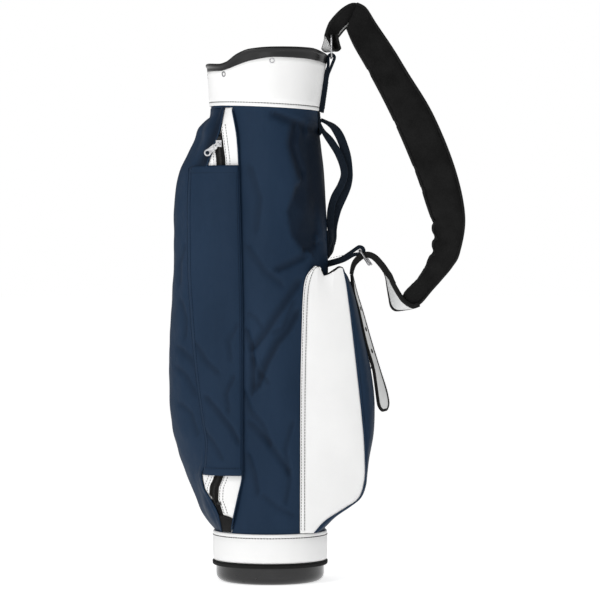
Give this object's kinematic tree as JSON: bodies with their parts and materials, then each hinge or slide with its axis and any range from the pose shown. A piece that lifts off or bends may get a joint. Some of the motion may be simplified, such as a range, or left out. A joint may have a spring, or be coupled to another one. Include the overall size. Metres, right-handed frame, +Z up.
{
  "type": "golf carry bag",
  "caption": "Upright tubular golf bag with a padded shoulder strap, carry handle, side pockets with zips, umbrella sleeve and moulded rim and base cup.",
  "frame": {"origin": "centre of the base cup's flat foot", "axes": "+Z up the bag to its mouth, +X towards the handle, shoulder strap and ball pocket, -Y towards the apparel pocket's zip"},
  "size_m": [0.497, 0.209, 0.9679],
  "materials": {
    "base_plastic": "moulded, glossy",
    "rim_plastic": "moulded, semi-gloss",
    "binding_black": "folded woven binding",
    "vinyl_white": "grained white vinyl on a backing",
    "strap_vinyl": "grained white vinyl with black binding",
    "nylon_navy": "coated nylon plain weave",
    "webbing_navy": "ribbed webbing",
    "fleece_black": "short brushed fleece over foam",
    "lining_black": "lining cloth",
    "zip_tape_black": "woven zip tape",
    "zip_coil_black": "nylon coil",
    "hardware_chrome": "polished plate",
    "stay_alloy": "drawn rod"
  },
  "bodies": {
    "bag": {"base_cup": "base_plastic", "base_trim": "binding_black", "base_cuff": "vinyl_white", "body_tube": "nylon_navy", "stay_rods": "stay_alloy", "stay_sleeves": "lining_black", "top_rim": "rim_plastic", "top_cuff": "vinyl_white", "cuff_rivets": "hardware_chrome", "divider_bar": "rim_plastic", "divider_sleeve": "fleece_black", "ring_tab": "webbing_navy", "strap_ring": "hardware_chrome", "ball_pocket_side_near": "vinyl_white", "ball_pocket_side_far": "vinyl_white", "ball_pocket_front": "nylon_navy", "ball_zip_tape": "zip_tape_black", "ball_zip_coil": "zip_coil_black", "ball_zip_stops": "hardware_chrome", "apparel_pocket_vinyl": "vinyl_white", "apparel_pocket_panel": "nylon_navy", "apparel_zip_tape": "zip_tape_black", "apparel_zip_coil": "zip_coil_black", "apparel_zip_stops": "hardware_chrome", "umbrella_sleeve": "nylon_navy", "zip_end_tab": "zip_tape_black", "handle_anchors": "webbing_navy", "lower_tab": "webbing_navy", "buckle_frame": "hardware_chrome", "strap_buckle_run": "fleece_black", "strap_end_loop": "strap_vinyl"},
    "strap": {"strap_pad": "fleece_black", "strap_cover": "strap_vinyl", "strap_upper_lead": "fleece_black", "strap_lower_lead": "fleece_black"},
    "handle": {"handle_loop_near": "webbing_navy", "handle_loop_far": "webbing_navy"},
    "tail": {"strap_tail": "strap_vinyl"},
    "prong": {"buckle_prong": "hardware_chrome"},
    "apparel_slider": {"apparel_zip_slider": "hardware_chrome"},
    "apparel_puller": {"apparel_zip_puller": "hardware_chrome"},
    "ball_slider": {"ball_zip_slider": "hardware_chrome"},
    "ball_puller": {"ball_zip_puller": "hardware_chrome"}
  },
  "joints": [
    {"name": "strap_swing", "type": "hinge", "parent": "bag", "child": "strap", "pos_m": [0.108, 0, 0.923], "axis": [-0.2274, 0, 0.9738], "range_deg": [-60, 60]},
    {"name": "handle_swing", "type": "hinge", "parent": "bag", "child": "handle", "pos_m": [0.111, 0, 0.676], "axis": [0, 0, 1], "range_deg": [-30, 30]},
    {"name": "tail_swing", "type": "hinge", "parent": "bag", "child": "tail", "pos_m": [0.1365, 0, 0.512], "axis": [0, -1, 0], "range_deg": [0, 25]},
    {"name": "prong_swing", "type": "hinge", "parent": "bag", "child": "prong", "pos_m": [0.15038, 0, 0.55274], "axis": [0, -1, 0], "range_deg": [0, 20]},
    {"name": "apparel_zip_slide", "type": "slide", "parent": "bag", "child": "apparel_slider", "axis": [0, 0, -1], "range_m": [0, 0.575]},
    {"name": "apparel_pull_flip", "type": "hinge", "parent": "apparel_slider", "child": "apparel_puller", "pos_m": [-0.084, -0.0804, 0.7295], "axis": [-0.6428, 0, 0.766], "range_deg": [0, 110]},
    {"name": "ball_zip_slide", "type": "slide", "parent": "bag", "child": "ball_slider", "axis": [0.232, 0, -0.9727], "range_m": [0, 0.125]},
    {"name": "ball_pull_flip", "type": "hinge", "parent": "ball_slider", "child": "ball_puller", "pos_m": [0.14288, 0.027, 0.4897], "axis": [0, -1, 0], "range_deg": [0, 110]}
  ]
}
